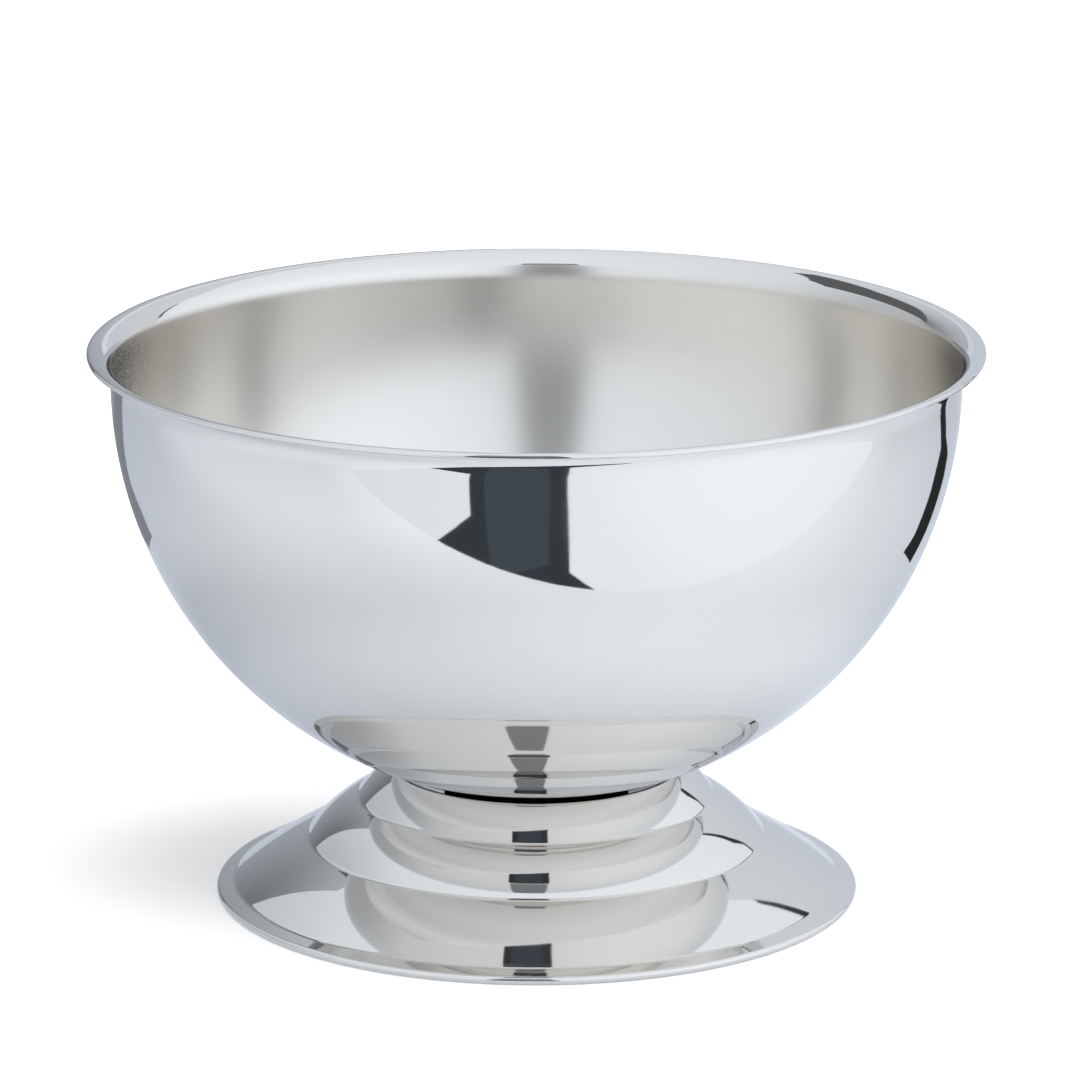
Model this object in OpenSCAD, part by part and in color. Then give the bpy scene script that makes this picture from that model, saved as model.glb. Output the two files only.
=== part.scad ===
// Footed punch bowl in thin sheet: a round bowl with a flared, rolled lip, standing on a stepped
// pedestal foot. A stud under the bowl clamps the two together inside the hollow foot.
// +Z is up, the origin is on the axis in the plane that the foot stands on. Millimetres.

/* [Bowl] */
// Outside diameter over the rolled lip
rim_d = 380; // [372:1:388]
// Height from the table to the top of the lip
total_h = 239.5; // [238:0.5:246]
// Radius of the small flat pressed into the bottom of the bowl
bowl_flat_r = 40; // [36:0.5:44]
// Thickness of the bowl's sheet
bowl_t = 1; // [0.8:0.1:1.2]
// Radius of the rolled bead along the lip
bead_r = 1.25; // [1.1:0.05:1.4]

/* [Foot] */
// Outside diameter of the foot
foot_d = 275.2; // [272:0.1:280]
// Thickness of the foot's sheet
foot_t = 1; // [0.8:0.1:1.2]
// Radius of the curled outer edge of the foot
curl_r = 1.9; // [1.6:0.1:2.2]
// Radius at the lower edge of the upper tier
tier1_r = 76.6; // [75:0.1:78]
// Height of the lower edge of the upper tier
tier1_z = 42.4; // [41:0.1:43]
// Radius at the lower edge of the middle tier
tier2_r = 98; // [96:0.1:100]
// Height of the lower edge of the middle tier
tier2_z = 24.6; // [23:0.1:26]

/* [Clamp] */
// Thickness of the gasket between bowl and foot
gasket_t = 2; // [1.5:0.1:2.5]
// Diameter of the clamping stud
stud_d = 8; // [6:1:8]

/* [Hidden] */
$fn = 96;

polished = "Gainsboro";
zinc = "Silver";
rubber_grey = "DimGray";

// Bowl wall: round up to its equator, then a gentle flare, then the tighter curve of the lip.
flare_r = 22;
flare_turn = 14;
flare_rise = flare_r * sin(flare_turn);
flare_out = flare_r * (1 - cos(flare_turn));
lip_r = 9;
lip_turn = 80;
lip_rise = lip_r * (sin(lip_turn) - sin(flare_turn));
lip_out = lip_r * (cos(flare_turn) - cos(lip_turn));
bead_reach = 0.83;
bead_pos = [rim_d / 2 - bead_r, total_h - bead_r];
bowl_r = bead_pos.x - bead_reach - lip_out - flare_out;
bowl_cz = total_h - bowl_t - lip_rise - flare_rise;
bowl_flat_z = under_bowl(bowl_flat_r);

// Foot: its web is dished down to the gasket, and its shoulder stays just clear of the bowl.
web_z = bowl_flat_z - gasket_t;
web_flat_r = 44;
shoulder_r = 2.2;
shoulder_gap = 1.3;
shoulder_x = 62.6;
shoulder_pos = [shoulder_x, under_bowl(shoulder_x) - shoulder_gap - shoulder_r];
shoulder_top_turn = 115;
shoulder_end_turn = 49;
tier_end = [[tier1_r, tier1_z], [tier2_r, tier2_z], [129.3, 6]];
tier_sag = [0.46, 1.7, 1.03];
curl_pos = [foot_d / 2 - curl_r, curl_r];
curl_turn = 70;
rest_w = 1.4;
band_share = 0.7;

// Clamp stack, downwards from the flat of the bowl.
gasket_in_r = 27;
gasket_out_r = 38;
plate_r = 24;
plate_t = gasket_t - 0.2;
plate_z = bowl_flat_z - plate_t;
hole_play = 0.5;
thread_play = 0.05;
washer_r = 20;
washer_t = 2;
washer_z = web_z - foot_t - washer_t;
spring_r = 7.4;
spring_t = 2;
spring_z = washer_z - spring_t;
spring_split = 1.6;
nut_flats = 13;
nut_h = 6.5;
nut_z = spring_z - nut_h;
stud_past_nut = 4;
stud_z = nut_z - stud_past_nut;
chamfer = 0.8;

// Height of the underside of the round bowl at radius r.
function under_bowl(r) = bowl_cz - sqrt(pow(bowl_r, 2) - pow(r, 2));

// Points along an arc of radius r about c, from angle a0 to angle a1 in n steps.
function arc(c, r, a0, a1, n) =
    [for (i = [0:n]) let (a = a0 + (a1 - a0) * i / n) c + r * [cos(a), sin(a)]];

// Points along an arc from p to q that bulges by sag to the left of the line from p to q.
function bulge(p, q, sag, n) =
    let (chord = norm(q - p),
         r = (pow(chord / 2, 2) + pow(sag, 2)) / (2 * sag),
         left = [p.y - q.y, q.x - p.x] / chord,
         c = (p + q) / 2 - left * (r - sag),
         start = atan2(p.y - c.y, p.x - c.x),
         half_turn = asin(chord / 2 / r))
    arc(c, r, start, start - 2 * half_turn, n);

// Unit normal to the left of a path at its point i.
function path_normal(path, i) =
    let (a = path[max(i - 1, 0)],
         b = path[min(i + 1, len(path) - 1)],
         d = (b - a) / norm(b - a))
    [-d.y, d.x];

// The path moved by t to its left, read from its end to its start.
function moved_back(path, t) =
    [for (i = [len(path) - 1:-1:0]) path[i] + t * path_normal(path, i)];

// A path without the points that repeat the one before them.
function once(path) =
    [for (i = [0:len(path) - 1]) if (i == 0 || norm(path[i] - path[max(i - 1, 0)]) > 0.001) path[i]];

// Section of a sheet of thickness t on the left of a path.
module sheet(path, t) {
    polygon(concat(path, moved_back(path, t)));
}

// Outside of the bowl: flat, round body, flare and lip.
body_path = arc([0, bowl_cz], bowl_r, -acos(bowl_flat_r / bowl_r), 0, 45);
flare_c = [bowl_r + flare_r, bowl_cz];
flare_path = arc(flare_c, flare_r, 180, 180 - flare_turn, 6);
lip_c = flare_c - (flare_r - lip_r) * [cos(flare_turn), -sin(flare_turn)];
lip_path = arc(lip_c, lip_r, 180 - flare_turn, 180 - lip_turn, 14);
bowl_path = once(concat([[0, bowl_flat_z]], body_path, flare_path, lip_path));

// Upper side of the foot, from the stud hole out to the curled edge.
shoulder_path = arc(shoulder_pos, shoulder_r, shoulder_top_turn, shoulder_end_turn, 6);
shoulder_end = shoulder_pos + shoulder_r * [cos(shoulder_end_turn), sin(shoulder_end_turn)];
tier_start = [shoulder_end, tier_end[0], tier_end[1]];
tier_path = [for (i = [0:2]) each bulge(tier_start[i], tier_end[i], tier_sag[i], 12)];
curl_path = arc(curl_pos, curl_r, curl_turn, -90, 16);
band_end = tier_end[2] + band_share * (curl_path[0] - tier_end[2]);
foot_path = once(concat(
    [[stud_d / 2 + hole_play, web_z], [web_flat_r, web_z]],
    shoulder_path,
    tier_path,
    [band_end]));

module bowl_shell() {
    color(polished) rotate_extrude() {
        sheet(bowl_path, bowl_t);
        translate(bead_pos) circle(bead_r);
    }
}

module pedestal_foot() {
    rest_edge = [[curl_pos.x - rest_w, 0]];
    color(polished) rotate_extrude()
        polygon(concat(foot_path, curl_path, rest_edge, moved_back(foot_path, -foot_t)));
}

// Flat ring with its lower face at height z.
module ring(r_in, r_out, z, t) {
    translate([0, 0, z]) difference() {
        cylinder(h = t, r = r_out);
        translate([0, 0, -1]) cylinder(h = t + 2, r = r_in);
    }
}

module seat_gasket() {
    color(rubber_grey) ring(gasket_in_r, gasket_out_r, web_z, gasket_t);
}

module stud_plate() {
    color(zinc) translate([0, 0, plate_z]) cylinder(h = plate_t, r = plate_r);
}

module clamp_stud() {
    color(zinc) translate([0, 0, stud_z]) {
        cylinder(h = chamfer, r1 = stud_d / 2 - chamfer, r2 = stud_d / 2);
        translate([0, 0, chamfer]) cylinder(h = plate_z - stud_z - chamfer, r = stud_d / 2);
    }
}

module backing_washer() {
    color(zinc) ring(stud_d / 2 + hole_play, washer_r, washer_z, washer_t);
}

module spring_washer() {
    color(zinc) difference() {
        ring(stud_d / 2 + hole_play / 2, spring_r, spring_z, spring_t);
        translate([0, -spring_split / 2, spring_z - 1]) cube([spring_r + 1, spring_split, spring_t + 2]);
    }
}

module hex_nut() {
    corner_r = nut_flats / 2 / cos(30);
    color(zinc) translate([0, 0, nut_z]) difference() {
        intersection() {
            cylinder(h = nut_h, r = corner_r, $fn = 6);
            cylinder(h = nut_h, r1 = corner_r - chamfer, r2 = corner_r - chamfer + nut_h);
        }
        translate([0, 0, -1]) cylinder(h = nut_h + 2, r = stud_d / 2 + thread_play);
    }
}

bowl_shell();
stud_plate();
clamp_stud();
seat_gasket();
pedestal_foot();
backing_washer();
spring_washer();
hex_nut();
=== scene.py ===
import math

import bmesh
import bpy
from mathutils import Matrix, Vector


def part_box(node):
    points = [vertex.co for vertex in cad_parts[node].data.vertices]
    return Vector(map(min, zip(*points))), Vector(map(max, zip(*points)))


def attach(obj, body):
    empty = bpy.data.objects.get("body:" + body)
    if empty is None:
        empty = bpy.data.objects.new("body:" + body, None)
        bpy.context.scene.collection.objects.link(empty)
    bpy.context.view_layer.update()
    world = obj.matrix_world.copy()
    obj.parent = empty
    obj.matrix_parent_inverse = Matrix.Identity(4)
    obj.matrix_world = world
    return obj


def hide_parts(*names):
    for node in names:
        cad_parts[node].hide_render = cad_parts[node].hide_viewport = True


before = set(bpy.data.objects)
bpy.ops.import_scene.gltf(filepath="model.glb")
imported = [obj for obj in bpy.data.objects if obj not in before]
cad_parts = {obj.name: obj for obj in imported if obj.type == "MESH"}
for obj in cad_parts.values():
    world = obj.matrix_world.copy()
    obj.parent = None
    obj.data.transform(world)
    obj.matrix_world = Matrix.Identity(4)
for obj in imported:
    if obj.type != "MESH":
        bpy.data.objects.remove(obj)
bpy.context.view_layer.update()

# A footed punch bowl in spun stainless steel: polished outside, satin inside, on a stepped foot.
# Turned pieces are sections in (radius, height) swept round the Z axis. Lengths are in metres.

MM = 0.001
AROUND = 384


# --- Sections -----------------------------------------------------------------------------------


def polar(centre, radius, degrees):
    angle = math.radians(degrees)
    return (centre[0] + radius * math.cos(angle), centre[1] + radius * math.sin(angle))


def arc(centre, radius, start, end, steps):
    """Points along an arc between two angles in degrees."""
    return [polar(centre, radius, start + (end - start) * i / steps) for i in range(steps + 1)]


def bulge(p, q, sag, steps):
    """Points along an arc from p to q that bulges by sag to the left of the line p to q."""
    chord = math.dist(p, q)
    radius = ((chord / 2) ** 2 + sag**2) / (2 * sag)
    left = ((p[1] - q[1]) / chord, (q[0] - p[0]) / chord)
    centre = (
        (p[0] + q[0]) / 2 - left[0] * (radius - sag),
        (p[1] + q[1]) / 2 - left[1] * (radius - sag),
    )
    start = math.degrees(math.atan2(p[1] - centre[1], p[0] - centre[0]))
    half_turn = math.degrees(math.asin(chord / 2 / radius))
    return arc(centre, radius, start, start - 2 * half_turn, steps)


def moved_left(path, distance):
    """The path moved sideways to its left by a distance."""
    moved = []
    for i, point in enumerate(path):
        before = path[max(i - 1, 0)]
        after = path[min(i + 1, len(path) - 1)]
        run = math.dist(before, after)
        moved.append(
            (
                point[0] - distance * (after[1] - before[1]) / run,
                point[1] + distance * (after[0] - before[0]) / run,
            )
        )
    return moved


def once(path):
    """The path without points that repeat the one before them."""
    kept = [path[0]]
    for point in path[1:]:
        if math.dist(point, kept[-1]) > 0.001 * MM:
            kept.append(point)
    return kept


def joined(stretches, ease, steps=8):
    """One path from stretches that meet, with a small curve of size ease where each meets the next."""
    path = list(stretches[0])
    for stretch in stretches[1:]:
        corner = Vector(path[-1])
        path = [p for p in path if math.dist(p, corner) > ease]
        after = [p for p in stretch if math.dist(p, corner) > ease]
        start = corner + ease * (Vector(path[-1]) - corner).normalized()
        end = corner + ease * (Vector(after[0]) - corner).normalized()
        for i in range(steps + 1):
            t = i / steps
            path.append(tuple(start.lerp(corner, t).lerp(corner.lerp(end, t), t)))
        path += after
    return path


# --- Meshes -------------------------------------------------------------------------------------


SHARP = math.radians(35)


def new_object(name, bm):
    mesh = bpy.data.meshes.new(name)
    bmesh.ops.recalc_face_normals(bm, faces=bm.faces)
    bm.to_mesh(mesh)
    bm.free()
    mesh.shade_smooth()
    mesh.set_sharp_from_angle(angle=SHARP)
    obj = bpy.data.objects.new(name, mesh)
    bpy.context.scene.collection.objects.link(obj)
    return obj


def skin(name, rows, looped, capped=False):
    """Joins closed rows of points into a surface. A row of one point is a pole."""
    bm = bmesh.new()
    loops = [[bm.verts.new(point) for point in row] for row in rows]
    pairs = list(zip(loops, loops[1:]))
    if looped:
        pairs.append((loops[-1], loops[0]))
    around = max(len(loop) for loop in loops)
    for lower, upper in pairs:
        for i in range(around):
            j = (i + 1) % around
            corners = []
            for vert in (
                lower[i % len(lower)],
                lower[j % len(lower)],
                upper[j % len(upper)],
                upper[i % len(upper)],
            ):
                if vert not in corners:
                    corners.append(vert)
            bm.faces.new(corners)
    if capped:
        bm.faces.new(loops[0])
        bm.faces.new(loops[-1])
    return new_object(name, bm)


def angles(around):
    return [2 * math.pi * i / around for i in range(around)]


def ring(radius, height, around):
    """Points round the axis. The radius is a number or a function of the angle, so is the height."""
    points = []
    for angle in angles(around):
        r = radius(angle) if callable(radius) else radius
        z = height(angle) if callable(height) else height
        points.append((r * math.cos(angle), r * math.sin(angle), z))
    return points


def lathe(name, section, around=AROUND):
    """Sweeps a section round the Z axis. Ends on the axis close into a point, other ends join up."""
    rows = []
    for radius, height in section:
        on_axis = radius < 0.01 * MM
        rows.append([(0, 0, height)] if on_axis else ring(radius, height, around))
    return skin(name, rows, looped=len(rows[0]) > 1)


def soft_box(x0, x1, z0, z1, edge):
    """A closed section: a box with small rounded corners."""
    spots = [(x1 - edge, z1 - edge, 0), (x0 + edge, z1 - edge, 90)]
    spots += [(x0 + edge, z0 + edge, 180), (x1 - edge, z0 + edge, 270)]
    section = []
    for x, z, start in spots:
        section += arc((x, z), edge, start, start + 90, 4)
    return section


def placed(obj, node):
    """Stands for a CAD node and moves with the body."""
    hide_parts(node)
    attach(obj, "root")
    return obj


# --- Materials ----------------------------------------------------------------------------------


# A square of a tenth of a millimetre, which keeps a division by the radius safe on the axis.
OFF_AXIS = (0.1 * MM) ** 2


class Nodes:
    """A short way to build a node material."""

    def __init__(self, name):
        self.material = bpy.data.materials.new(name)
        self.material.use_nodes = True
        self.tree = self.material.node_tree
        self.shader = self.tree.nodes["Principled BSDF"]

    def add(self, kind, **settings):
        node = self.tree.nodes.new(kind)
        for key, value in settings.items():
            setattr(node, key, value)
        return node

    def link(self, value, socket):
        if isinstance(value, (int, float, tuple)):
            socket.default_value = value
        else:
            self.tree.links.new(value, socket)

    def math(self, operation, a, b=0.0):
        node = self.add("ShaderNodeMath", operation=operation)
        self.link(a, node.inputs[0])
        self.link(b, node.inputs[1])
        return node.outputs[0]

    def noise(self, vector, scale, detail=3.0, roughness=0.5):
        node = self.add("ShaderNodeTexNoise")
        self.link(vector, node.inputs["Vector"])
        node.inputs["Scale"].default_value = scale
        node.inputs["Detail"].default_value = detail
        node.inputs["Roughness"].default_value = roughness
        return node.outputs["Fac"]

    def spread(self, value, low, high):
        """Maps the middle of a noise's range onto low to high."""
        node = self.add("ShaderNodeMapRange")
        self.link(value, node.inputs["Value"])
        node.inputs["From Min"].default_value = 0.3
        node.inputs["From Max"].default_value = 0.7
        node.inputs["To Min"].default_value = low
        node.inputs["To Max"].default_value = high
        return node.outputs["Result"]

    def position(self):
        return self.add("ShaderNodeTexCoord").outputs["Object"]

    def turned(self, along, around):
        """Coordinates for marks left by turning: fine along the section, long around the axis."""
        parts = self.add("ShaderNodeSeparateXYZ")
        self.link(self.position(), parts.inputs[0])
        x, y, z = parts.outputs
        squares = self.math("ADD", self.math("MULTIPLY", x, x), self.math("MULTIPLY", y, y))
        radius = self.math("SQRT", self.math("ADD", squares, OFF_AXIS))
        joined = self.add("ShaderNodeCombineXYZ")
        self.link(self.math("MULTIPLY", self.math("DIVIDE", x, radius), around), joined.inputs[0])
        self.link(self.math("MULTIPLY", self.math("DIVIDE", y, radius), around), joined.inputs[1])
        self.link(self.math("MULTIPLY", self.math("ADD", radius, z), along), joined.inputs[2])
        return joined.outputs[0]

    def bump(self, height, distance, strength):
        node = self.add("ShaderNodeBump")
        self.link(height, node.inputs["Height"])
        node.inputs["Distance"].default_value = distance
        node.inputs["Strength"].default_value = strength
        return node.outputs["Normal"]

    def smooth(self, value, low, high, at_low, at_high):
        """Eases from one level to another as the value goes from low to high."""
        node = self.add("ShaderNodeMapRange", interpolation_type="SMOOTHSTEP")
        self.link(value, node.inputs["Value"])
        node.inputs["From Min"].default_value = low
        node.inputs["From Max"].default_value = high
        node.inputs["To Min"].default_value = at_low
        node.inputs["To Max"].default_value = at_high
        return node.outputs["Result"]

    def along(self, way):
        """How far the shaded point lies in a direction."""
        node = self.add("ShaderNodeVectorMath", operation="DOT_PRODUCT")
        self.link(self.position(), node.inputs[0])
        node.inputs[1].default_value = way
        return node.outputs["Value"]

    def distance(self, spot):
        """How far the shaded point is from a spot."""
        node = self.add("ShaderNodeVectorMath", operation="DISTANCE")
        self.link(self.position(), node.inputs[0])
        node.inputs[1].default_value = spot
        return node.outputs["Value"]

    def tint(self, factor, first, second):
        node = self.add("ShaderNodeMix", data_type="RGBA")
        self.link(factor, node.inputs[0])
        node.inputs[6].default_value = (*first, 1)
        node.inputs[7].default_value = (*second, 1)
        return node.outputs[2]


def polished_steel(name):
    """Mirror-polished sheet with very faint rings from spinning and thin wipe marks."""
    n = Nodes(name)
    rings = n.noise(n.turned(160, 0.5), 1.0, 2)
    wipes = n.noise(n.position(), 14.0, 4)
    n.link(n.tint(wipes, (0.785, 0.76, 0.72), (0.805, 0.78, 0.74)), n.shader.inputs["Base Color"])
    n.shader.inputs["Metallic"].default_value = 1.0
    n.shader.inputs["Specular Tint"].default_value = (0.8, 0.82, 0.86, 1)
    n.link(n.spread(wipes, 0.025, 0.06), n.shader.inputs["Roughness"])
    n.link(n.bump(rings, 0.02 * MM, 0.3), n.shader.inputs["Normal"])
    return n.material


def satin_steel(name):
    """Brushed round the axis: fine rings that stretch reflections along the section."""
    n = Nodes(name)
    grain = n.noise(n.turned(5200, 3.0), 1.0, 4, 0.7)
    patches = n.noise(n.position(), 9.0, 3)
    n.link(n.tint(grain, (0.77, 0.74, 0.695), (0.85, 0.82, 0.775)), n.shader.inputs["Base Color"])
    n.shader.inputs["Metallic"].default_value = 1.0
    n.link(n.spread(patches, 0.2, 0.24), n.shader.inputs["Roughness"])
    n.shader.inputs["Anisotropic"].default_value = 0.4
    n.shader.inputs["Anisotropic Rotation"].default_value = 0.25
    tangent = n.add("ShaderNodeTangent", direction_type="RADIAL", axis="Z")
    n.link(tangent.outputs[0], n.shader.inputs["Tangent"])
    n.link(n.bump(grain, 0.002 * MM, 0.3), n.shader.inputs["Normal"])
    return n.material


def plated_steel(name):
    """Dull bright plating on the fixings: faint turning marks and cloudy patches."""
    n = Nodes(name)
    marks = n.noise(n.turned(2400, 2.0), 1.0, 3)
    clouds = n.noise(n.position(), 180.0, 4)
    n.link(n.tint(clouds, (0.56, 0.57, 0.58), (0.68, 0.68, 0.66)), n.shader.inputs["Base Color"])
    n.shader.inputs["Metallic"].default_value = 1.0
    n.link(n.spread(clouds, 0.24, 0.4), n.shader.inputs["Roughness"])
    n.link(n.bump(marks, 0.02 * MM, 0.5), n.shader.inputs["Normal"])
    return n.material


def rubber(name):
    """Black moulded rubber with a fine matt grain and a dusty bloom."""
    n = Nodes(name)
    grain = n.noise(n.position(), 2600.0, 3, 0.6)
    bloom = n.noise(n.position(), 120.0, 4)
    n.link(n.tint(bloom, (0.022, 0.022, 0.023), (0.05, 0.05, 0.052)), n.shader.inputs["Base Color"])
    n.link(n.spread(bloom, 0.58, 0.76), n.shader.inputs["Roughness"])
    n.link(n.bump(grain, 0.03 * MM, 0.6), n.shader.inputs["Normal"])
    return n.material


# --- Bowl ---------------------------------------------------------------------------------------

bowl_low, bowl_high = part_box("bowl_shell")
rim_r = bowl_high.x
rim_z = bowl_high.z
bowl_flat_z = bowl_low.z
bowl_t = 1.0 * MM
bowl_flat_r = 40 * MM
bead_r = 1.25 * MM
bead_c = (rim_r - bead_r, rim_z - bead_r)
lip_r = 9 * MM
lip_turn = 80
flare_r = 22 * MM
flare_turn = 14
bead_reach = 0.83 * MM
bead_start = -160
bead_end = 80

lip_c = (
    bead_c[0] - bead_reach + lip_r * math.cos(math.radians(lip_turn)),
    rim_z - bowl_t - lip_r * math.sin(math.radians(lip_turn)),
)
flare_c = (
    lip_c[0] + (flare_r - lip_r) * math.cos(math.radians(flare_turn)),
    lip_c[1] - (flare_r - lip_r) * math.sin(math.radians(flare_turn)),
)
body_r = flare_c[0] - flare_r
body_c = (0, flare_c[1])
body_start = -math.degrees(math.acos(bowl_flat_r / body_r))

bowl_ease = 2.5 * MM
body = arc(body_c, body_r, body_start, 0, 90)
flare = arc(flare_c, flare_r, 180, 180 - flare_turn, 10)
lip = arc(lip_c, lip_r, 180 - flare_turn, 180 - lip_turn, 24)
flat = [(0, bowl_flat_z), (body[0][0] / 2, bowl_flat_z), body[0]]
outside = once(joined([flat, body], bowl_ease) + flare + lip)
inside = moved_left(outside, bowl_t)[::-1]
bead = arc(bead_c, bead_r, bead_start, bead_end, 28)
bowl_section = once(outside[:-1] + bead + inside)
bowl = lathe("bowl", bowl_section)
placed(bowl, "bowl_shell")

# --- Foot ---------------------------------------------------------------------------------------

_, foot_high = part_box("pedestal_foot")
gasket_low, gasket_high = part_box("seat_gasket")
foot_r = foot_high.x
foot_t = 1.0 * MM
web_z = gasket_low.z
web_flat_r = 44 * MM
hole_r = 4.5 * MM
shoulder_r = 2.2 * MM
shoulder_c = (62.6 * MM, foot_high.z - shoulder_r)
shoulder_from = 115
shoulder_to = 49
shoulder_end = polar(shoulder_c, shoulder_r, shoulder_to)
tier_end = [(76.6 * MM, 42.4 * MM), (98 * MM, 24.6 * MM), (130.1 * MM, 5.25 * MM)]
tier_sag = [0.46 * MM, 1.7 * MM, 1.03 * MM]
curl_r = 1.9 * MM
curl_c = (foot_r - curl_r, curl_r)
curl_start = 76
curl_end = -190

curl = arc(curl_c, curl_r, curl_start, curl_end, 44)

tier_start = [shoulder_end] + tier_end[:2]
tiers = [bulge(p, q, sag, 24) for p, q, sag in zip(tier_start, tier_end, tier_sag)]
shoulder = arc(shoulder_c, shoulder_r, shoulder_from, shoulder_to, 12)
web = [(hole_r, web_z), (web_flat_r, web_z), shoulder[0]]
band = [tier_end[2], curl[0]]
crease = 1.1 * MM
upper = once(joined([web + shoulder + tiers[0], tiers[1], tiers[2], band], crease))
lower = moved_left(upper, -foot_t)[::-1]

# The curl's inner face stops a few points early, where the foot's lower face runs into it.
past_meeting = 4
curl_inside = arc(curl_c, curl_r - foot_t, curl_end, curl_start, 24)[:-past_meeting]
foot_section = once(upper + curl[1:] + curl_inside + lower)
foot = lathe("foot", foot_section)
placed(foot, "pedestal_foot")

# --- Clamp under the bowl -----------------------------------------------------------------------

FINE = 96
plate_low, plate_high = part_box("stud_plate")
stud_low, stud_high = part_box("clamp_stud")
washer_low, washer_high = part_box("backing_washer")
spring_low, spring_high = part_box("spring_washer")
nut_low, nut_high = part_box("hex_nut")
stud_r = stud_high.x
pitch = 1.25 * MM
thread_depth = 0.6 * MM
thread_play = 0.05 * MM
crest = 0.15
flank = 0.7
rings_a_turn = 10
chamfer = 0.8 * MM
clear_r = stud_r + 0.5 * MM


def thread_r(angle, height):
    """Radius of the threaded stud: flanks between flat crests and roots, up by a pitch a turn."""
    phase = (height / pitch - angle / (2 * math.pi)) % 1
    depth = min(max((abs(2 * phase - 1) - crest) / flank, 0), 1)
    return stud_r - thread_depth * depth


def heights(low, high):
    """Evenly spaced heights, close enough to show the thread."""
    count = round((high - low) / pitch * rings_a_turn)
    return [low + (high - low) * i / count for i in range(count + 1)]


def stud_ring(z):
    """A ring of the stud's thread, tapered at the lower end."""
    tapered = stud_r - chamfer + z - stud_low.z
    return ring(lambda angle: min(thread_r(angle, z), tapered), z, FINE)


stud_rows = [[(0, 0, stud_low.z)]]
stud_rows += [stud_ring(z) for z in heights(stud_low.z, stud_high.z)]
stud_rows += [[(0, 0, stud_high.z)]]
stud = skin("threaded_stud", stud_rows, looped=False)
placed(stud, "clamp_stud")

half_flats = nut_high.y
corner_r = half_flats / math.cos(math.radians(30))
chamfered_r = corner_r - chamfer
mouth_r = stud_r + 0.3 * MM


def hex_r(angle):
    """Distance from the axis to the flats of the nut."""
    return half_flats / math.cos(angle % math.radians(60) - math.radians(30))


def cut_corner(angle):
    """Distance from the axis to the edge of the nut's end faces, with its corners cut."""
    return min(hex_r(angle), chamfered_r)


def cut_depth(angle):
    """How far the chamfer runs down the flat at an angle."""
    return max(hex_r(angle) - chamfered_r, 0)


def nut_bore(z):
    """A ring of the nut's thread, opened out near the two faces."""
    to_face = min(z - nut_low.z, nut_high.z - z)
    return ring(lambda a: max(thread_r(a, z) + thread_play, mouth_r - to_face), z, FINE)


nut_rows = [
    ring(cut_corner, nut_low.z, FINE),
    ring(hex_r, lambda angle: nut_low.z + cut_depth(angle), FINE),
    ring(hex_r, lambda angle: nut_high.z - cut_depth(angle), FINE),
    ring(cut_corner, nut_high.z, FINE),
]
nut_rows += [nut_bore(z) for z in heights(nut_low.z, nut_high.z)[::-1]]
nut = skin("lock_nut", nut_rows, looped=True)
placed(nut, "hex_nut")

washer_section = soft_box(clear_r, washer_high.x, washer_low.z, washer_high.z, 0.3 * MM)
washer = lathe("flat_washer", washer_section, FINE)
placed(washer, "backing_washer")

plate_edge = 0.4 * MM
plate_edge_c = (plate_high.x - plate_edge, plate_low.z + plate_edge)
plate_section = [(0, plate_low.z)] + arc(plate_edge_c, plate_edge, -90, 0, 6)
plate_section += [(plate_high.x, plate_high.z), (0, plate_high.z)]
plate = lathe("weld_plate", plate_section, FINE)
placed(plate, "stud_plate")

gasket_in_r = 27 * MM
gasket_section = soft_box(gasket_in_r, gasket_high.x, gasket_low.z, gasket_high.z, 0.5 * MM)
gasket = lathe("rubber_ring", gasket_section, FINE)
placed(gasket, "seat_gasket")

# The spring washer is split along +X, with straight ends that face each other over the gap.
half_split = 0.8 * MM
spring_section = soft_box(
    stud_r + 0.25 * MM, -spring_low.x, spring_low.z, spring_high.z, 0.25 * MM
)
spring_rows = []
for i in range(FINE):
    row = []
    for radius, height in spring_section:
        first = math.asin(half_split / radius)
        angle = first + (2 * math.pi - 2 * first) * i / (FINE - 1)
        row.append((radius * math.cos(angle), radius * math.sin(angle), height))
    spring_rows.append(row)
spring = skin("split_washer", spring_rows, looped=False, capped=True)
placed(spring, "spring_washer")

# --- Finishes -----------------------------------------------------------------------------------

polished = polished_steel("polished steel")
satin = satin_steel("satin steel")
plated = plated_steel("plated steel")

bowl.data.materials.append(polished)
bowl.data.materials.append(satin)
foot.data.materials.append(polished)
foot.data.materials.append(satin)
gasket.data.materials.append(rubber("black rubber"))
for fixing in (stud, nut, washer, spring, plate):
    fixing.data.materials.append(plated)

# The bowl is satin inside, up to a little below the rim.
satin_below_rim = 5.5 * MM
for face in bowl.data.polygons:
    outward = Vector((face.center.x, face.center.y, 0)).normalized()
    faces_in = face.normal.z > face.normal.dot(outward)
    face.material_index = 1 if faces_in and face.center.z < rim_z - satin_below_rim else 0

# The foot's underside is left as spun.
for face in foot.data.polygons:
    inside_curl = face.center.xy.length < curl_c[0] - curl_r
    face.material_index = 1 if face.normal.z < 0 and inside_curl else 0

# --- Set ----------------------------------------------------------------------------------------

TENT_WHITE = (0.93, 1.0, 1.085)


def emitter(name, strength, tint=TENT_WHITE):
    """A plain surface that gives off light and reflects none."""
    n = Nodes(name)
    n.shader.inputs["Base Color"].default_value = (0, 0, 0, 1)
    n.shader.inputs["Roughness"].default_value = 1.0
    n.shader.inputs["Specular IOR Level"].default_value = 0.0
    n.shader.inputs["Emission Color"].default_value = (*tint, 1)
    n.link(strength, n.shader.inputs["Emission Strength"])
    return n


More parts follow.
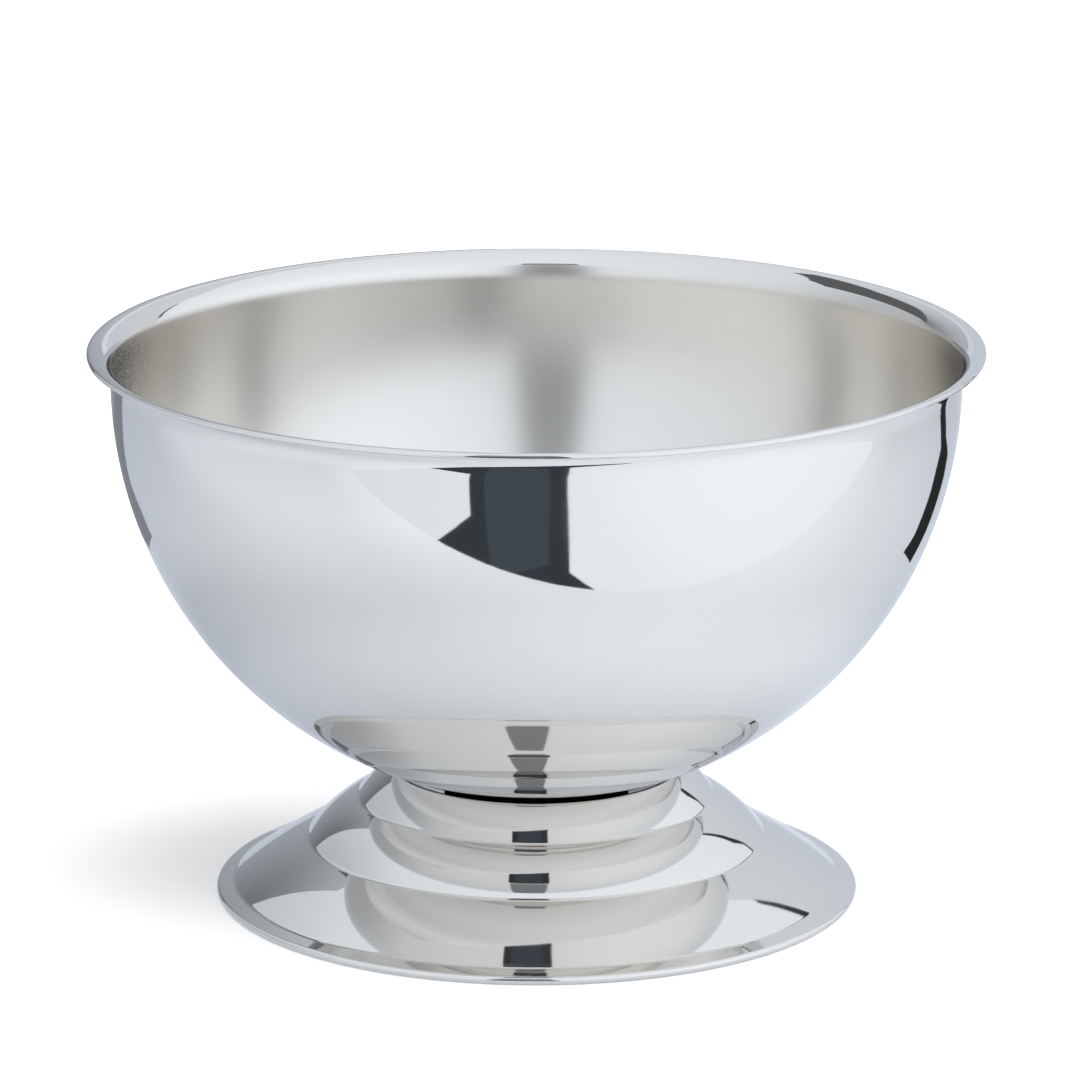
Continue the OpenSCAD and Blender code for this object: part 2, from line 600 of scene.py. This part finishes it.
def card(name, corners, material, seen=False):
    """A flat sheet of the set, either seen by the camera or seen only in reflections."""
    bm = bmesh.new()
    bm.faces.new([bm.verts.new(c) for c in corners])
    obj = new_object(name, bm)
    obj.data.materials.append(material)
    obj.visible_camera = seen
    obj.visible_glossy = not seen
    obj.visible_diffuse = False
    obj.visible_shadow = False


def upright(y, points):
    """Corners of a card that stands at a distance y in front of or behind the bowl."""
    return [(x, y, z) for x, z in points]


def lying(points):
    """Corners of a card that lies just above the table."""
    return [(x, y, 1 * MM) for x, y in points]


def table_top(n, colour):
    """Gives the emitter a plain colour that takes light as well."""
    n.shader.inputs["Base Color"].default_value = (*colour, 1)
    return n.material


# The camera sees a white table. The reflections see a second table card with painted light in its
# emission: brightest near the foot and towards its front edge, which runs at a slope in front of the
# bowl.
edge_slope = 0.45
edge_y = -0.376
far = 8
far_back = 2 * far
table_corners = [
    (-far, edge_y - far * edge_slope, 0),
    (far, edge_y + far * edge_slope, 0),
    (far, far_back, 0),
    (-far, far_back, 0),
]
bright_side = math.radians(60)
bright_way = (math.sin(bright_side), -math.cos(bright_side), 0)

# The table's emission is painted lower round a spot left of the foot: a painted soft shadow of the
# bowl, most on the left of the foot, over the real faint shadow from the key light.
white = emitter("white table", 0.0, (1, 1, 1))
shade = white.smooth(white.distance((-0.12, 0.04, 0)), 0.02, 0.13, 0.12, 0.4)
white.link(shade, white.shader.inputs["Emission Strength"])
card("table", table_corners, table_top(white, (0.9, 0.86, 0.82)), seen=True)

mirrored = emitter("mirrored table", 0.0)
# Painted light and shade on the reflected table: more glow near the foot, halved towards the bright
# side, more far to the front left and along the front edge.
near = mirrored.smooth(mirrored.distance((0, 0, 0)), 0.17, 0.34, 0.28, 0.0)
near_side = mirrored.smooth(mirrored.along(bright_way), -0.1, 0.25, 1.0, 0.5)
near = mirrored.math("MULTIPLY", near, near_side)
to_front_left = (-0.7, -0.7, 0)
front_left = mirrored.smooth(mirrored.along(to_front_left), 0.25, 0.6, 0.0, 0.17)
edge_line = mirrored.along((-edge_slope, 1, 0))
to_edge = mirrored.smooth(edge_line, edge_y, edge_y + 0.2, 0.1, 0.0)
glow = mirrored.math("ADD", mirrored.math("ADD", near, front_left), to_edge)
mirrored.link(glow, mirrored.shader.inputs["Emission Strength"])
just_below = 0.5 * MM
below = [(x, y, z - just_below) for x, y, z in table_corners]
card("mirrored table", below, table_top(mirrored, (0.605, 0.62, 0.645)))

# A wide soft light overhead on the right, so the bowl's faint shadow falls to the left.
key_data = bpy.data.lights.new("key", "AREA")
key_data.shape = "SQUARE"
key_data.size = 0.8
key_data.energy = 11
key = bpy.data.objects.new("key", key_data)
bpy.context.scene.collection.objects.link(key)
key.location = (0.45, -0.15, 1.3)
key.rotation_euler = Vector(key.location).to_track_quat("Z", "Y").to_euler()
key.visible_glossy = False
key.visible_camera = False

# The gap between the front boards, and the dark room that shows through it and past the table.
dark_room = emitter("dark room", 0.05, (0.8, 1.0, 1.2))
card(
    "front gap",
    upright(
        -1.2,
        [
            (-0.349, 0.24),
            (-0.359, -0.271),
            (-0.6, -0.512),
            (-0.8, -0.71),
            (-0.8, -1.5),
            (0.75, -1.5),
            (0.62, -1.2),
            (0.386, -0.931),
            (0.197, -0.694),
            (0.160, -0.1),
            (0.160, 0.24),
        ],
    ),
    dark_room.material,
)
card(
    "far wall",
    upright(-1.19, [(-0.27, -0.75), (0.07, -0.6), (0.07, 0.23), (-0.27, 0.23)]),
    emitter("far wall", 0.08, (0.75, 1.0, 1.28)).material,
)
card(
    "front gap above",
    upright(-1.2, [(-0.33, 0.26), (0.14, 0.26), (0.1, 1.57), (-0.3, 1.57)]),
    emitter("dim front", 0.3).material,
)

# The back panel is dim on the left; dark gaps run beside it, along the table and up the corners.
dim_panel = emitter("dim panel", 0.0)
panel_across = dim_panel.smooth(dim_panel.along((1, 0, 0)), -0.8, 0.0, 0.18, 0.58)
panel_up = dim_panel.smooth(dim_panel.along((0, 0, 1)), 0.3, 1.0, 0.0, 0.3)
panel_glow = dim_panel.math("ADD", panel_across, panel_up)
dim_panel.link(panel_glow, dim_panel.shader.inputs["Emission Strength"])
card(
    "back panel left",
    upright(0.8, [(-0.68, 0.0), (-0.02, 0.0), (-0.02, 1.0), (-0.68, 0.92)]),
    dim_panel.material,
)
light_panel = emitter("light panel", 0.8)
card(
    "back panel right",
    upright(0.8, [(0.05, 0.0), (0.77, 0.0), (0.77, 1.2), (0.05, 1.2)]),
    light_panel.material,
)
black_gap = emitter("black gap", 0.03)
card(
    "corner gap",
    upright(
        0.8,
        [
            (0.77, 0.0),
            (0.80, 0.0),
            (0.80, 0.35),
            (0.87, 0.50),
            (0.80, 0.90),
            (0.76, 0.90),
            (0.79, 0.50),
            (0.77, 0.35),
        ],
    ),
    black_gap.material,
)
card(
    "table gap",
    lying(
        [
            (0.36, 0.195),
            (0.38, 0.25),
            (0.46, 0.36),
            (0.51, 0.42),
            (0.56, 0.50),
            (0.61, 0.53),
            (0.73, 0.61),
            (0.80, 0.80),
            (0.77, 0.80),
            (0.68, 0.67),
            (0.56, 0.58),
            (0.46, 0.56),
            (0.41, 0.50),
            (0.38, 0.44),
            (0.34, 0.36),
            (0.31, 0.27),
        ]
    ),
    black_gap.material,
)
card(
    "table shade",
    lying(
        [
            (-0.68, 0.80),
            (-0.56, 0.66),
            (-0.47, 0.58),
            (-0.42, 0.52),
            (-0.40, 0.48),
            (-0.38, 0.38),
            (-0.35, 0.31),
            (-0.28, 0.40),
            (-0.10, 1.0),
            (-0.10, 1.4),
            (-0.68, 1.4),
        ]
    ),
    emitter("table shade", 0.3).material,
)
hood = [
    (0.55, 0.37),
    (0.40, 0.48),
    (0.22, 0.62),
    (0.30, 0.80),
    (0.52, 1.04),
    (0.79, 1.31),
    (1.42, 1.62),
    (1.17, 1.20),
    (0.90, 0.86),
    (0.70, 0.60),
]
card("hood", [(-0.35, y, z) for y, z in hood], emitter("hood", 0.13).material)

# The tent all round: bright to the right and front, dimmer behind on the left.
world = bpy.data.worlds.new("tent")
bpy.context.scene.world = world
world.use_nodes = True
sky = world.node_tree
backdrop = sky.nodes["Background"]
direction = sky.nodes.new("ShaderNodeTexCoord")
facing = sky.nodes.new("ShaderNodeVectorMath")
facing.operation = "DOT_PRODUCT"
facing.inputs[1].default_value = bright_way
sky.links.new(direction.outputs["Generated"], facing.inputs[0])
ramp = sky.nodes.new("ShaderNodeMapRange")
ramp.inputs["From Min"].default_value = -1
ramp.inputs["From Max"].default_value = 1
ramp.inputs["To Min"].default_value = 0
ramp.inputs["To Max"].default_value = 1
sky.links.new(facing.outputs["Value"], ramp.inputs["Value"])
levels = sky.nodes.new("ShaderNodeValToRGB")
levels.color_ramp.interpolation = "B_SPLINE"
stops = [(0.0, 0.54), (0.07, 0.68), (0.18, 0.9), (0.5, 0.98), (0.82, 1.02), (1.0, 1.18)]
for at, level in stops[1:-1]:
    levels.color_ramp.elements.new(at)
top_level = stops[-1][1]
for element, (at, level) in zip(levels.color_ramp.elements, stops):
    element.position = at
    element.color = (*(t * level / top_level / TENT_WHITE[2] for t in TENT_WHITE), 1)
sky.links.new(ramp.outputs["Result"], levels.inputs["Fac"])
sky.links.new(levels.outputs["Color"], backdrop.inputs["Color"])
backdrop.inputs["Strength"].default_value = top_level * TENT_WHITE[2]

# --- Camera -------------------------------------------------------------------------------------

camera_data = bpy.data.cameras.new("camera")
camera = bpy.data.objects.new("camera", camera_data)
bpy.context.scene.collection.objects.link(camera)
bpy.context.scene.camera = camera
look_down = 14.7736
camera.location = (0, -3.0391, 0.9558)
camera.rotation_euler = (math.radians(90 - look_down), 0, 0)
camera_data.lens = 246.15
camera_data.sensor_width = 36
camera_data.shift_x = 0.0033

bpy.context.scene.view_settings.view_transform = "Standard"
